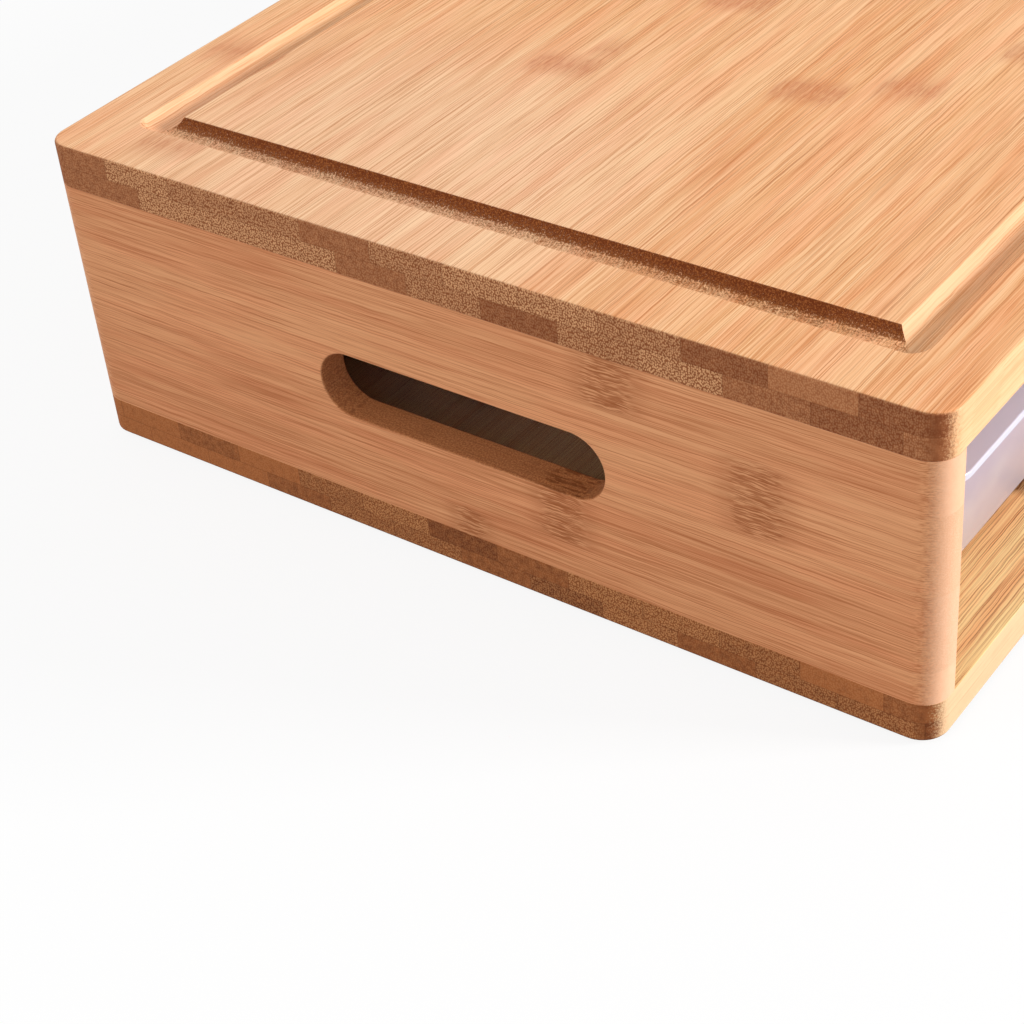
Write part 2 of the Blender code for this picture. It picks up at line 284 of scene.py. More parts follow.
def recess_cutter(bottom):
    """Four round recesses for the feet."""
    shape = bmesh.new()
    for foot in FEET:
        low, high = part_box(foot)
        middle = (low + high) / 2
        radius = (high.x - low.x) / 2 + FOOT_RECESS_GAP
        lower, upper = (
            [shape.verts.new(point) for point in circle(middle, radius, height, RECESS_STEPS)]
            for height in (bottom - CUTTER_REACH, high.z + FOOT_RECESS_GAP)
        )
        for index in range(RECESS_STEPS):
            ahead = (index + 1) % RECESS_STEPS
            shape.faces.new((lower[index], lower[ahead], upper[ahead], upper[index]))
        shape.faces.new(list(reversed(lower)))
        shape.faces.new(upper)
    bmesh.ops.recalc_face_normals(shape, faces=shape.faces)
    mesh = bpy.data.meshes.new("recesses")
    shape.to_mesh(mesh)
    shape.free()
    return mesh


def cut(mesh, cutter_mesh):
    """The mesh with the cutter's shape taken out."""
    obj = bpy.data.objects.new("work", mesh)
    cutter = bpy.data.objects.new("cutter", cutter_mesh)
    for each in (obj, cutter):
        bpy.context.scene.collection.objects.link(each)
    modifier = obj.modifiers.new("cut", "BOOLEAN")
    modifier.solver = "EXACT"
    modifier.object = cutter
    graph = bpy.context.evaluated_depsgraph_get()
    result = bpy.data.meshes.new_from_object(obj.evaluated_get(graph))
    result.name = mesh.name
    bpy.data.objects.remove(obj)
    bpy.data.objects.remove(cutter)
    ease_shading(result)
    return result


def base_board_mesh():
    low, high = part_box("base_board")
    loops = board_edge(low, high, CORNER_RADIUS, low.z, high.z, EDGE_ROUND, SOFT_EDGE)
    return cut(loft("base_board_look", loops), recess_cutter(low.z))


def side_panel_mesh(node, outward, bottom, top):
    """A loft round the slot: its wall, outer face, rounded corners, inner face and back."""
    low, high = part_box(node)
    outer_x = high.x if outward > 0 else low.x
    inner_x = low.x if outward > 0 else high.x
    middle = (low.z + high.z) / 2
    loops = []

    def slot_loop(grow, x):
        half_y = SLOT_LENGTH / 2 + grow
        half_z = SLOT_HEIGHT / 2 + grow
        return plan_loop((-half_y, middle - half_z), (half_y, middle + half_z), half_z, x)

    def face_loop(half_y, inset, x):
        start, end = (-half_y + inset, bottom + inset), (half_y - inset, top - inset)
        return plan_loop(start, end, SHARP_CORNER_RADIUS, x)

    for inset, drop in rounding(SLOT_EDGE_ROUND):
        loops.append(slot_loop(inset, outer_x - outward * drop))
    loops.append(slot_loop(2 * SLOT_EDGE_ROUND, outer_x))
    half_depth = high.y
    loops.append(face_loop(half_depth - CORNER_RADIUS, SOFT_EDGE, outer_x))
    for step in range(CORNER_STEPS + 1):
        angle = step / CORNER_STEPS * math.pi / 2
        reach = half_depth - CORNER_RADIUS * (1 - math.sin(angle))
        x = outer_x - outward * CORNER_RADIUS * (1 - math.cos(angle))
        loops.append(face_loop(reach, 0.0, x))
    loops.append(face_loop(half_depth, 0.0, inner_x + outward * SOFT_EDGE))
    loops.append(face_loop(half_depth, SOFT_EDGE, inner_x))
    loops.append(slot_loop(2 * SLOT_EDGE_ROUND, inner_x))
    for inset, drop in reversed(rounding(SLOT_EDGE_ROUND)):
        loops.append(slot_loop(inset, inner_x + outward * drop))

    def upright(point):
        return point[2], point[0], point[1]

    return loft(f"{node}_look", loops, closed_round=True, turn=upright)


def plain_board_mesh(node, low, high, soft):
    """A board between these corners, with all its edges eased."""
    return loft(f"{node}_look", board_edge(low, high, soft, low.z, high.z, soft, soft))


def drawer_mesh(node):
    """A moulded tub with a rounded rim, which widens at the front into the pull lip."""
    low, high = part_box(node)
    height = high.z - low.z
    rim_radius = DRAWER_INNER_CORNER_RADIUS + RIM_WIDTH

    def tub_loop(inward, level, corner):
        lean = (height - level) * math.tan(DRAWER_DRAFT) + inward
        start = (low.x + RIM_WIDTH + lean, low.y + PULL_LIP_DEPTH + lean)
        end = (high.x - RIM_WIDTH - lean, high.y - RIM_WIDTH - lean)
        return plan_loop(start, end, max(corner, SMALLEST_CORNER_RADIUS), low.z + level)

    def rim_loop(inset, level):
        return inset_loop((low.x, low.y), (high.x, high.y), rim_radius, inset, low.z + level)

    inner_corner = DRAWER_INNER_CORNER_RADIUS
    outer_corner = inner_corner + DRAWER_WALL
    outer_floor = DRAWER_OUTER_FLOOR_RADIUS
    under_rim = height - RIM_THICKNESS
    loops = [tub_loop(outer_floor * 2, 0.0, outer_corner - outer_floor)]
    for inset, rise in reversed(rounding(outer_floor, FLOOR_ROUND_STEPS)):
        loops.append(tub_loop(inset, rise, outer_corner - inset * 0.5))
    loops.append(tub_loop(0.0, under_rim / 2, outer_corner))
    for inset, drop in rounding(RIM_ROUND):
        loops.append(tub_loop(-inset, under_rim - drop, outer_corner + inset))
    loops += [rim_loop(inset, under_rim + rise) for inset, rise in reversed(rounding(RIM_ROUND))]
    loops += [rim_loop(inset, height - drop) for inset, drop in rounding(RIM_ROUND)]
    for inset, drop in reversed(rounding(RIM_ROUND)):
        loops.append(tub_loop(DRAWER_WALL - inset, height - drop, inner_corner + inset))
    loops.append(tub_loop(DRAWER_WALL, height / 2, inner_corner))
    for inset, rise in rounding(DRAWER_INNER_FLOOR_RADIUS, FLOOR_ROUND_STEPS):
        loops.append(tub_loop(DRAWER_WALL + inset, DRAWER_FLOOR + rise, inner_corner - inset * 0.5))
    flat_from = DRAWER_WALL + DRAWER_INNER_FLOOR_RADIUS * 2
    loops.append(tub_loop(flat_from, DRAWER_FLOOR, DRAWER_INNER_FLOOR_CORNER))
    return loft(f"{node}_look", loops)


def foot_mesh(node):
    """A round foot with an eased lower edge and a shallow dish under it."""
    low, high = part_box(node)
    middle = (low + high) / 2
    radius = (high.x - low.x) / 2
    rim, dish = (radius * share for share in FOOT_DISH_SHARES)
    profile = [(POINT_RADIUS, high.z), (radius, high.z)]
    profile += [(radius - inset, low.z + rise) for inset, rise in rounding(FOOT_EDGE_ROUND)]
    profile += [(rim, low.z), (dish, low.z + FOOT_DISH_DEPTH)]
    profile.append((POINT_RADIUS, low.z + FOOT_DISH_MIDDLE_DEPTH))
    loops = [circle(middle, reach, height, FOOT_STEPS) for reach, height in profile]
    return loft(f"{node}_look", loops)


# Materials

MILLIMETRES = (1000.0, 1000.0, 1000.0)

# The fibres' textures: their size in millimetres along the grain, across it and through it, or how many
# there are in a millimetre
SOFT_LINE_SIZE = (70, 0.3, 0.75)
HAIR_SIZE = (40, 0.34, 0.7)
STREAK_SIZE = (120, 1.5, 2.4)
CLOUD_SIZE = (150, 7.0, 8.0)
THREAD_LENGTH = 32
THREADS_PER_MM = 1.35
STROKES_PER_MM = 2.3
CELLS_PER_MM = 2.15
CELL_FLATNESS = 0.72
CELL_RANDOMNESS = 0.8
PATCHES_PER_MM = 0.55
GRIT_PER_MM = 2.1

# How far the fibres drift and ripple, in millimetres, and what tells one strip's fibres from the next one's
DRIFT_ACROSS = 0.9
DRIFT_THROUGH = 1.6
RIPPLE = 0.5
STROKE_BEND = 0.8
STRIP_SEED = 57.0
STRIP_DRIFT_SEED = 31.0
PLY_SEED = 7.0

# The joint of a board with one layer lies below everything
NO_PLIES = (-1000.0, 0.0, "", "")

# The two ends of smooth steps, in millimetres
SEAM_EDGE = (0.20, 0.05)
PLY_EDGE = (0.18, 0.04)
PALE_PATCH_REACH = (110.0, 30.0)
GROOVE_LIP_DROP = (0.02, 0.15)
GROOVE_END_RUN = (-0.1, 0.3)
GROOVE_MITRE = -0.3
GROOVE_REACH = 11.0
RIM_EDGE = (14.0, 13.0)
SLOT_EDGE = (0.45, 0.05)

# The two ends of smooth steps, as shares
THREAD_EDGE = (0.21, 0.08)
THREAD_LEVEL = (0.40, 0.62)
SOFT_LINE_EDGE = (0.53, 0.66)
HAIR_LINE_EDGE = (0.52, 0.7)
LINE_CLUSTERS = (0.32, 0.66, 0.35, 1.0)
BLUSH_EDGE = (0.4, 0.65)
EDGE_FACING = (0.45, 0.95)
MARK_ENDS = (1.04, 0.7)
MARK_STAIN = (0.0, 0.8)
MARK_MIDDLE = (0.34, 0.62)
STROKE_EDGE = (0.59, 0.71)
GLEAM_EDGE = (0.47, 0.38)
SPOT_EDGE = (0.56, 0.22)
SPOTS_FACING = (0.05, 0.7)
END_TURNED = (0.02, 0.12)
RAGGED_FACING = (0.0, 0.4)
TURN_SHADE_GRIT = (0.42, 0.58)
SCORCH_AND_SHADE_REACH = (-0.16, 0.56)
SCORCH_AND_SHADE_GRIT = (0.44, 0.66, 0.0, 0.6)
ROUTED_AND_SHADED_GRIT = (0.4, 0.62)
UNDERSIDE_SHADE_FROM = (-0.1, -0.45)
UNDERSIDE_SHADE_TO = (-0.97, -0.85)

# Tints and strengths in all bamboo
BLUSH_TINT = (1.0, 0.84, 0.82, 1.0)
PALE_PATCH_TINT = (1.0, 0.83, 0.66, 1.0)
# The groove's cooler tint is painted shade
GROOVE_SHADE_TINT = (0.95, 0.99, 1.04, 1.0)
GLUE_STRENGTH = 0.18
BAMBOO_SPECULAR = 0.12
BAMBOO_BUMP = (0.35, 0.00012)

PLASTIC_TINTS = ((232, 228, 238), (242, 240, 246))
# The milky front's colours: pinker and lighter low down as painted bounce light from the bamboo base, and
# darker and bluer high up as painted shade under the top board
MILKY_LOW_BOUNCE_LIGHT, MILKY_HIGH_SHADE = (236, 222, 226), (202, 197, 226)
SMUDGE_TINT = (170, 156, 190)
# The pull lip's colour: milky plastic, painted lighter as light
LIP_PAINTED_LIGHT_TINT = (238, 236, 252)
PLASTIC_IOR = 1.49
PLASTIC_BUMP = (0.2, 0.0006)
CLEAR_ALPHA, MILKY_ALPHA = 0.26, 0.58
CLEAR_TRANSMISSION, MILKY_TRANSMISSION = 0.97, -0.80

RUBBER_TINTS = ((38, 37, 36), (58, 56, 54))
DUST_TINT = (120, 112, 102)
DOWEL_TINTS = ((226, 190, 142), (196, 152, 102))
PORE_TINT = (150, 108, 66)
FINE_BUMP = (0.4, 0.0001)


def srgb(red, green, blue):
    """A colour as it is read off a picture, as linear light."""
    shares = [value / 255 for value in (red, green, blue)]
    light = [share / 12.92 if share <= 0.04045 else ((share + 0.055) / 1.055) ** 2.4 for share in shares]
    return (*light, 1.0)


class Graph:
    """Adds nodes to a tree. A socket can be given wherever a value is expected."""

    def __init__(self, tree):
        self.tree = tree

    def add(self, kind, values=(), **settings):
        node = self.tree.nodes.new(kind if kind.startswith("NodeGroup") else "ShaderNode" + kind)
        for name, value in settings.items():
            setattr(node, name, value)
        pairs = values.items() if isinstance(values, dict) else enumerate(values)
        for key, value in pairs:
            self.put(node.inputs[key], value)
        return node

    def put(self, socket, value):
        if isinstance(value, bpy.types.NodeSocket):
            self.tree.links.new(value, socket)
        elif value is not None:
            socket.default_value = value

    def math(self, operation, *values, clamp=False):
        return self.add("Math", values, operation=operation, use_clamp=clamp).outputs[0]

    def times(self, first, *others):
        for other in others:
            first = self.math("MULTIPLY", first, other)
        return first

    def scaled(self, value, factor, addend):
        """The value times the factor, plus the addend."""
        return self.math("MULTIPLY_ADD", value, factor, addend)

    def less(self, value, other):
        return self.math("SUBTRACT", value, other)

    def larger(self, value, other):
        return self.math("MAXIMUM", value, other)

    def size(self, value):
        return self.math("ABSOLUTE", value)

    def vector(self, operation, *values):
        node = self.add("VectorMath", values, operation=operation)
        return node.outputs[1 if operation == "LENGTH" else 0]

    def join(self, x, y, z=0.0):
        return self.add("CombineXYZ", (x, y, z)).outputs[0]

    def split(self, vector):
        return list(self.add("SeparateXYZ", (vector,)).outputs)

    def blend(self, share, first, second, mode="MIX"):
        node = self.add("Mix", {0: share, 6: first, 7: second}, data_type="RGBA", blend_type=mode)
        return node.outputs[2]

    def span(self, value, low, high, first=0.0, last=1.0):
        """A smooth step between low and high."""
        node = self.add("MapRange", (value, low, high, first, last), interpolation_type="SMOOTHSTEP")
        return node.outputs[0]

    def noise(self, vector, scale=1.0, detail=2.0, roughness=0.5):
        values = {"Vector": vector, "Scale": scale, "Detail": detail, "Roughness": roughness}
        return self.add("TexNoise", values).outputs[0]

    def stretched_noise(self, vector, factors, **settings):
        return self.noise(self.vector("MULTIPLY", vector, factors), **settings)

    def place(self):
        """The place in the object at rest, in millimetres."""
        return self.vector("MULTIPLY", self.add("TexCoord").outputs["Object"], MILLIMETRES)

    def bump(self, shader, height, strength, distance):
        node = self.add("Bump", {"Strength": strength, "Distance": distance, "Height": height})
        self.put(shader.inputs["Normal"], node.outputs[0])


def group_tree(name, inputs, outputs):
    tree = bpy.data.node_groups.new(name, "ShaderNodeTree")
    for label, kind in inputs:
        tree.interface.new_socket(label, in_out="INPUT", socket_type=kind)
    for label, kind in outputs:
        tree.interface.new_socket(label, in_out="OUTPUT", socket_type=kind)
    return tree


def fibre_group():
    """The fibres of bamboo, from a place in millimetres: along the grain, across it and through it.

    Cells is the distance to the nearest bundle on end grain, and Grit breaks up the way from one look to
    another."""
    inputs = ("Place", "Strip", "Fineness", "Stroke")
    outputs = ("Cells", "Patches", "Grit", "Lines", "Hairs", "Streaks", "Clouds", "Strokes", "Wander")
    tree = group_tree(
        "bamboo_fibres",
        [(label, "NodeSocketVector" if label == "Place" else "NodeSocketFloat") for label in inputs],
        [(label, "NodeSocketFloat") for label in outputs],
    )
    graph = Graph(tree)
    given = graph.add("NodeGroupInput")
    along, across, through = graph.split(given.outputs["Place"])
    strip, fineness = given.outputs["Strip"], given.outputs["Fineness"]
    drift_place = graph.join(
        graph.times(along, 0.011), graph.times(across, 0.03), graph.times(strip, STRIP_DRIFT_SEED)
    )
    drift = graph.add("TexNoise", {"Vector": drift_place, "Scale": 1.0, "Detail": 1.0})
    drift_across, drift_through, _ = graph.split(drift.outputs[1])
    ripple_place = graph.join(graph.times(along, 0.14), graph.times(across, 0.4), strip)
    rippled = graph.scaled(graph.noise(ripple_place, detail=1.0), RIPPLE, across)
    seed = graph.times(strip, STRIP_SEED)
    v = graph.math("ADD", rippled, graph.scaled(drift_across, DRIFT_ACROSS, seed))
    w = graph.math("ADD", through, graph.scaled(drift_through, DRIFT_THROUGH, seed))

    def fibre_noise(size, **settings):
        length, width, depth = size
        place = graph.join(
            graph.times(along, 1 / length), graph.times(v, 1 / width), graph.times(w, 1 / depth)
        )
        return graph.noise(place, **settings)

    section = graph.join(across, graph.times(through, CELL_FLATNESS), seed)
    cells = graph.add(
        "TexVoronoi",
        {
            "Vector": section,
            "Scale": graph.times(fineness, CELLS_PER_MM),
            "Randomness": CELL_RANDOMNESS,
        },
        voronoi_dimensions="2D",
        feature="F1",
    ).outputs["Distance"]
    patch_values = {"Vector": graph.join(across, through), "Scale": PATCHES_PER_MM, "Detail": 2.0}
    patches = graph.add("TexNoise", patch_values, noise_dimensions="2D").outputs[0]
    grit = graph.noise(given.outputs["Place"], scale=GRIT_PER_MM, detail=2.0, roughness=0.7)
    thread_values = {"W": v, "Scale": THREADS_PER_MM}
    threads = graph.add("TexVoronoi", thread_values, voronoi_dimensions="1D", feature="F1")
    thread_place = graph.join(
        graph.times(along, 1 / THREAD_LENGTH), graph.times(threads.outputs["W"], 3.7), graph.times(w, 0.8)
    )
    thread_level = graph.span(graph.noise(thread_place, detail=1.0), *THREAD_LEVEL)
    thread = graph.times(graph.span(threads.outputs["Distance"], *THREAD_EDGE), thread_level)
    soft_lines = graph.span(fibre_noise(SOFT_LINE_SIZE, detail=1.0, roughness=0.6), *SOFT_LINE_EDGE)
    lines = graph.larger(thread, graph.times(soft_lines, 0.45))
    hairs = fibre_noise(HAIR_SIZE, detail=2.0, roughness=0.8)
    streaks = fibre_noise(STREAK_SIZE, detail=2.0, roughness=0.6)
    clouds = fibre_noise(CLOUD_SIZE, detail=1.0)
    bent = graph.scaled(graph.noise(graph.join(along, across, through), scale=0.3), STROKE_BEND, v)
    stroke_place = graph.join(
        graph.math("DIVIDE", along, given.outputs["Stroke"]), graph.times(bent, STROKES_PER_MM), w
    )
    strokes = graph.noise(stroke_place, detail=1.0, roughness=0.6)
    wander_place = graph.join(graph.times(across, 0.4), graph.times(through, 0.1), strip)
    wander = graph.noise(wander_place, detail=3.0, roughness=0.65)
    made = (cells, patches, grit, lines, hairs, streaks, clouds, strokes, wander)
    graph.add("NodeGroupOutput", dict(enumerate(made)))
    return tree


FIBRES = fibre_group()


def new_material(name):
    material = bpy.data.materials.new(name)
    material.use_nodes = True
    tree = material.node_tree
    tree.nodes.clear()
    graph = Graph(tree)
    shader = graph.add("BsdfPrincipled")
    graph.add("OutputMaterial", {"Surface": shader.outputs[0]})
    return material, graph, shader


def strip_ends(graph, number, letters):
    """(how light, how flecked) the ends of the strips are, from the strip's number and their letters."""
    place = graph.math("DIVIDE", graph.math("ADD", number, 0.5), STRIPS_LISTED)
    ramp = graph.add("ValToRGB", (place,))
    ramp.color_ramp.interpolation = "CONSTANT"
    stops = ramp.color_ramp.elements
    while len(stops) > 1:
        stops.remove(stops[-1])
    for index, letter in enumerate(letters):
        stop = stops[0] if index == 0 else stops.new(index / STRIPS_LISTED)
        stop.color = (*STRIP_ENDS[letter], 0.0, 1.0)
    return ramp.outputs[0]


def bamboo(name, grain, across, seam, look, marks, seed, slant=0.0, plies=None, groove=None, slot=None):
    """Solid bamboo of glued strips, through its whole volume. Axes are 0, 1 or 2, places in millimetres.

    The look gives colours and strengths, and plies the joint between two layers, the lower one's offset in
    strips and a letter for each strip's end in the upper and the lower one. Each mark of a node is (along,
    across, half length, half width, strength). A groove, given as (height of its lips, x and y of its inner
    lips), is darkened where its cutter went across the grain, partly as scorch and partly as painted shade on
    its inner walls, and so are the walls of a slot, given as (half its straight part, height, radius), as
    scorch and painted shade inside it."""
    material, graph, shader = new_material(name)
    tints = {label: srgb(*value) for label, value in look.items() if label in LOOK_TINTS}
    place = graph.place()
    axes = graph.split(place)
    normal = graph.split(graph.add("TexCoord").outputs["Normal"])
    facing = [graph.size(value) for value in normal]
    u, v, w = axes[grain], axes[across], axes[3 - grain - across]

    ply_seam, ply_offset, upper_ends, lower_ends = plies or NO_PLIES
    ply = graph.math("GREATER_THAN", w, ply_seam)
    counted = graph.math("DIVIDE", graph.less(v, seam), STRIP_WIDTH)
    shifted = graph.scaled(graph.less(1.0, ply), ply_offset, counted)
    strip = graph.math("FLOOR", shifted)
    key = graph.join(strip, graph.scaled(ply, PLY_SEED, seed + 0.5))
    chance = graph.add("TexWhiteNoise", {"Vector": key}, noise_dimensions="2D").outputs["Color"]
    tone, hue, dense = graph.split(chance)

    fibres = graph.add("Group", {}, node_tree=FIBRES)
    graph.put(fibres.inputs["Place"], graph.join(u, v, w))
    graph.put(fibres.inputs["Strip"], tone)
    fibres.inputs["Fineness"].default_value = look["fineness"]
    fibres.inputs["Stroke"].default_value = look["stroke"]
    cells, patches, grit, lines, hairs, streaks, clouds, strokes, wander = fibres.outputs
    rough_grit = graph.less(grit, 0.5)

    share = graph.math("FRACT", shifted)
    edge = graph.less(0.5, graph.size(graph.less(share, 0.5)))
    seam_line = graph.span(graph.times(edge, STRIP_WIDTH), *SEAM_EDGE)
    ply_line = graph.span(graph.size(graph.less(w, ply_seam)), *PLY_EDGE)
    glue = graph.larger(seam_line, ply_line)

    # Along the grain
    level = 0.45
    for value, strength in ((hairs, "hairs"), (streaks, "streaks"), (clouds, "clouds"), (tone, "strips")):
        level = graph.scaled(graph.less(value, 0.5), look[strength], level)
    level = graph.larger(graph.math("MINIMUM", level, 1.3), -0.3)
    long_colour = graph.blend(level, tints["pale"], tints["deep"])
    blush = graph.noise(graph.join(graph.times(u, 0.02), graph.times(v, 0.16), seed), detail=2.0)
    warm = graph.scaled(hue, 0.3, graph.times(graph.span(blush, *BLUSH_EDGE), 0.8))
    long_colour = graph.blend(graph.times(warm, look["warmth"]), long_colour, BLUSH_TINT, mode="MULTIPLY")
    edge_facing = graph.span(facing[across], *EDGE_FACING, 0.0, look["edge_pale"])
    line_share = graph.times(lines, graph.span(streaks, *LINE_CLUSTERS))
    hair_lines = graph.times(graph.span(hairs, *HAIR_LINE_EDGE), look["hair_lines"])
    line_share = graph.larger(graph.times(line_share, look["lines"]), hair_lines)
    line_share = graph.times(line_share, graph.less(1.0, edge_facing))
    # Paler towards a point near the back left of the top
    off_middle = graph.vector("LENGTH", graph.vector("SUBTRACT", place, look["pale_patch"]))
    pale_patch = graph.times(graph.span(off_middle, *PALE_PATCH_REACH), look["pale_patch_strength"])
    long_colour = graph.blend(pale_patch, long_colour, PALE_PATCH_TINT)
    long_colour = graph.blend(edge_facing, long_colour, tints["edge"])
    long_colour = graph.blend(line_share, long_colour, tints["line"])
    long_colour = graph.blend(graph.times(glue, GLUE_STRENGTH), long_colour, tints["line"])

    # Marks of the nodes: a soft stain, and short dark strokes in it with pale ones between
    wandered = graph.scaled(graph.less(wander, 0.5), look["wander"], u)
    slanted = graph.scaled(v, -slant, wandered)
    closest = 0.0
    for mark_u, mark_v, half_u, half_v, strength in marks:
        away = graph.vector("SUBTRACT", graph.join(slanted, v), (mark_u - slant * mark_v, mark_v, 0.0))
        away = graph.vector("MULTIPLY", away, (1 / half_u, 1 / half_v, 0.0))
        away_u, away_v, _ = graph.split(graph.vector("ABSOLUTE", away))
        close = graph.math("SUBTRACT", 1.0, away_u, clamp=True)
        close = graph.times(close, graph.span(away_v, *MARK_ENDS))
        closest = graph.larger(closest, graph.times(close, strength))
    stained = graph.times(graph.span(closest, *MARK_STAIN), look["stain"])
    within = graph.span(closest, *MARK_MIDDLE)
    brushed = graph.times(graph.span(graph.scaled(closest, 0.16, strokes), *STROKE_EDGE), within)
    brushed = graph.times(brushed, look["brush"])
    gleam = graph.times(graph.span(strokes, *GLEAM_EDGE), graph.times(within, look["gleam"]))
    long_colour = graph.blend(graph.larger(stained, brushed), long_colour, tints["mark"])
    long_colour = graph.blend(gleam, long_colour, tints["pale"])

    # Across the grain
    if plies:
        number = graph.math("ADD", strip, STRIPS_BELOW_SEAM)
        ends = graph.blend(ply, strip_ends(graph, number, lower_ends), strip_ends(graph, number, upper_ends))
        light, flecked, _ = graph.split(ends)
    else:
        light, flecked = tone, dense
    patchy = graph.scaled(graph.less(patches, 0.5), 1.1, light)
    ground = graph.blend(patchy, tints["end_deep"], tints["end_light"])
    ground = graph.blend(graph.times(flecked, 0.46), ground, tints["end_gap"])
    spotted = graph.span(graph.scaled(rough_grit, 0.5, cells), *SPOT_EDGE)
    spotted = graph.times(
        spotted,
        graph.scaled(flecked, 0.74, -0.03),
        graph.span(facing[across], *SPOTS_FACING, look["spots"], 0.0),
        graph.scaled(patches, 0.8, 0.6),
    )
    end_colour = graph.blend(spotted, ground, tints["end_pale"])
    end_colour = graph.blend(graph.times(glue, look["end_glue"]), end_colour, tints["end_gap"])
    scatter = graph.times(rough_grit, look["scatter"])
    scatter_share = graph.span(facing[across], *RAGGED_FACING) if plies else 1.0
    ragged = graph.scaled(scatter, scatter_share, facing[grain])
    end_share = graph.span(ragged, look["end_from"], look["end_from"] + look["end_range"])
    end_share = graph.times(end_share, graph.span(facing[grain], *END_TURNED))
    # Painted shade: a dark speckled band where a rounded corner turns from long grain to end grain
    turning = graph.times(end_share, graph.less(1.0, end_share), 4.0)
    turn_shaded = graph.times(turning, graph.span(grit, *TURN_SHADE_GRIT), look["turn_shade"])
    if groove:
        lip_height, lip_x, lip_y = groove
        below = graph.span(graph.less(lip_height, axes[2]), *GROOVE_LIP_DROP)
        past_x = graph.less(graph.size(axes[0]), lip_x)
        past_y = graph.less(graph.size(axes[1]), lip_y)
        end_run = graph.span(graph.less(past_x, graph.larger(past_y, GROOVE_MITRE)), *GROOVE_END_RUN)
        end_run = graph.times(end_run, graph.span(past_x, *RIM_EDGE), graph.span(past_y, *RIM_EDGE))
        # Where the cutter crossed the grain, the groove's inner walls darken, partly as scorch and partly as
        # painted shade
        inward = graph.times(normal[0], graph.math("SIGN", axes[0]))
        soft = graph.scaled(rough_grit, 2.6, inward)
        soft = graph.scaled(graph.less(light, 0.5), -0.16, soft)
        crossed = graph.times(below, end_run)
        steep = graph.times(graph.span(soft, *SCORCH_AND_SHADE_REACH), crossed)
        end_share = graph.scaled(end_share, graph.less(1.0, crossed), steep)
        scorch_and_shade = graph.blend(graph.span(grit, *SCORCH_AND_SHADE_GRIT), tints["scorch_and_shade"], tints["scorch_and_shade_pale"])
        end_colour = graph.blend(crossed, end_colour, scorch_and_shade)
        # Painted shade: the groove's long runs take a cooler, greyer tint
        along_run = graph.times(graph.less(1.0, end_run), graph.math("LESS_THAN", past_y, GROOVE_REACH))
        along_run = graph.times(along_run, graph.math("LESS_THAN", past_x, GROOVE_REACH), below)
        long_colour = graph.blend(along_run, long_colour, GROOVE_SHADE_TINT, mode="MULTIPLY")
    colour = graph.blend(end_share, long_colour, end_colour)
    colour = graph.blend(turn_shaded, colour, tints["end_gap"])
    # Painted shade: faces turned downwards, such as the base's lower eased edge, darken towards the end-grain
    # gap colour
    lower = graph.times(graph.span(normal[2], *UNDERSIDE_SHADE_FROM), graph.span(normal[2], *UNDERSIDE_SHADE_TO))
    colour = graph.blend(graph.times(lower, look["underside_shade"]), colour, tints["end_gap"])
    if slot:
        # The slot's walls darken all over, partly as router scorch and partly as painted shade inside the
        # slot
        straight, height, radius = slot
        off_y = graph.larger(graph.less(graph.size(axes[1]), straight), 0.0)
        off = graph.vector("LENGTH", graph.join(off_y, graph.less(axes[2], height)))
        outer, inner = (radius + reach for reach in SLOT_EDGE)
        slot_scorch_and_shade = graph.blend(graph.span(grit, *ROUTED_AND_SHADED_GRIT), tints["routed_and_shaded"], tints["routed_and_shaded_pale"])
        slot_scorch_and_shade = graph.blend(graph.times(lines, 0.5), slot_scorch_and_shade, tints["scorch_and_shade"])
        slot_scorch_and_shade = graph.blend(graph.times(brushed, 0.9), slot_scorch_and_shade, tints["scorch_and_shade"])
        colour = graph.blend(graph.times(graph.span(off, outer, inner), 0.9), colour, slot_scorch_and_shade)

    graph.put(shader.inputs["Base Color"], colour)
    rough = graph.scaled(streaks, 0.22, 0.42)
    graph.put(shader.inputs["Roughness"], graph.scaled(end_share, 0.18, rough))
    shader.inputs["Specular IOR Level"].default_value = BAMBOO_SPECULAR
    relief = graph.scaled(line_share, -0.5, graph.times(hairs, -0.3))
    relief = graph.scaled(glue, -0.4, relief)
    relief = graph.scaled(brushed, -0.5, relief)
    relief = graph.scaled(graph.times(spotted, end_share), 0.6, relief)
    graph.bump(shader, relief, *BAMBOO_BUMP)
    return material


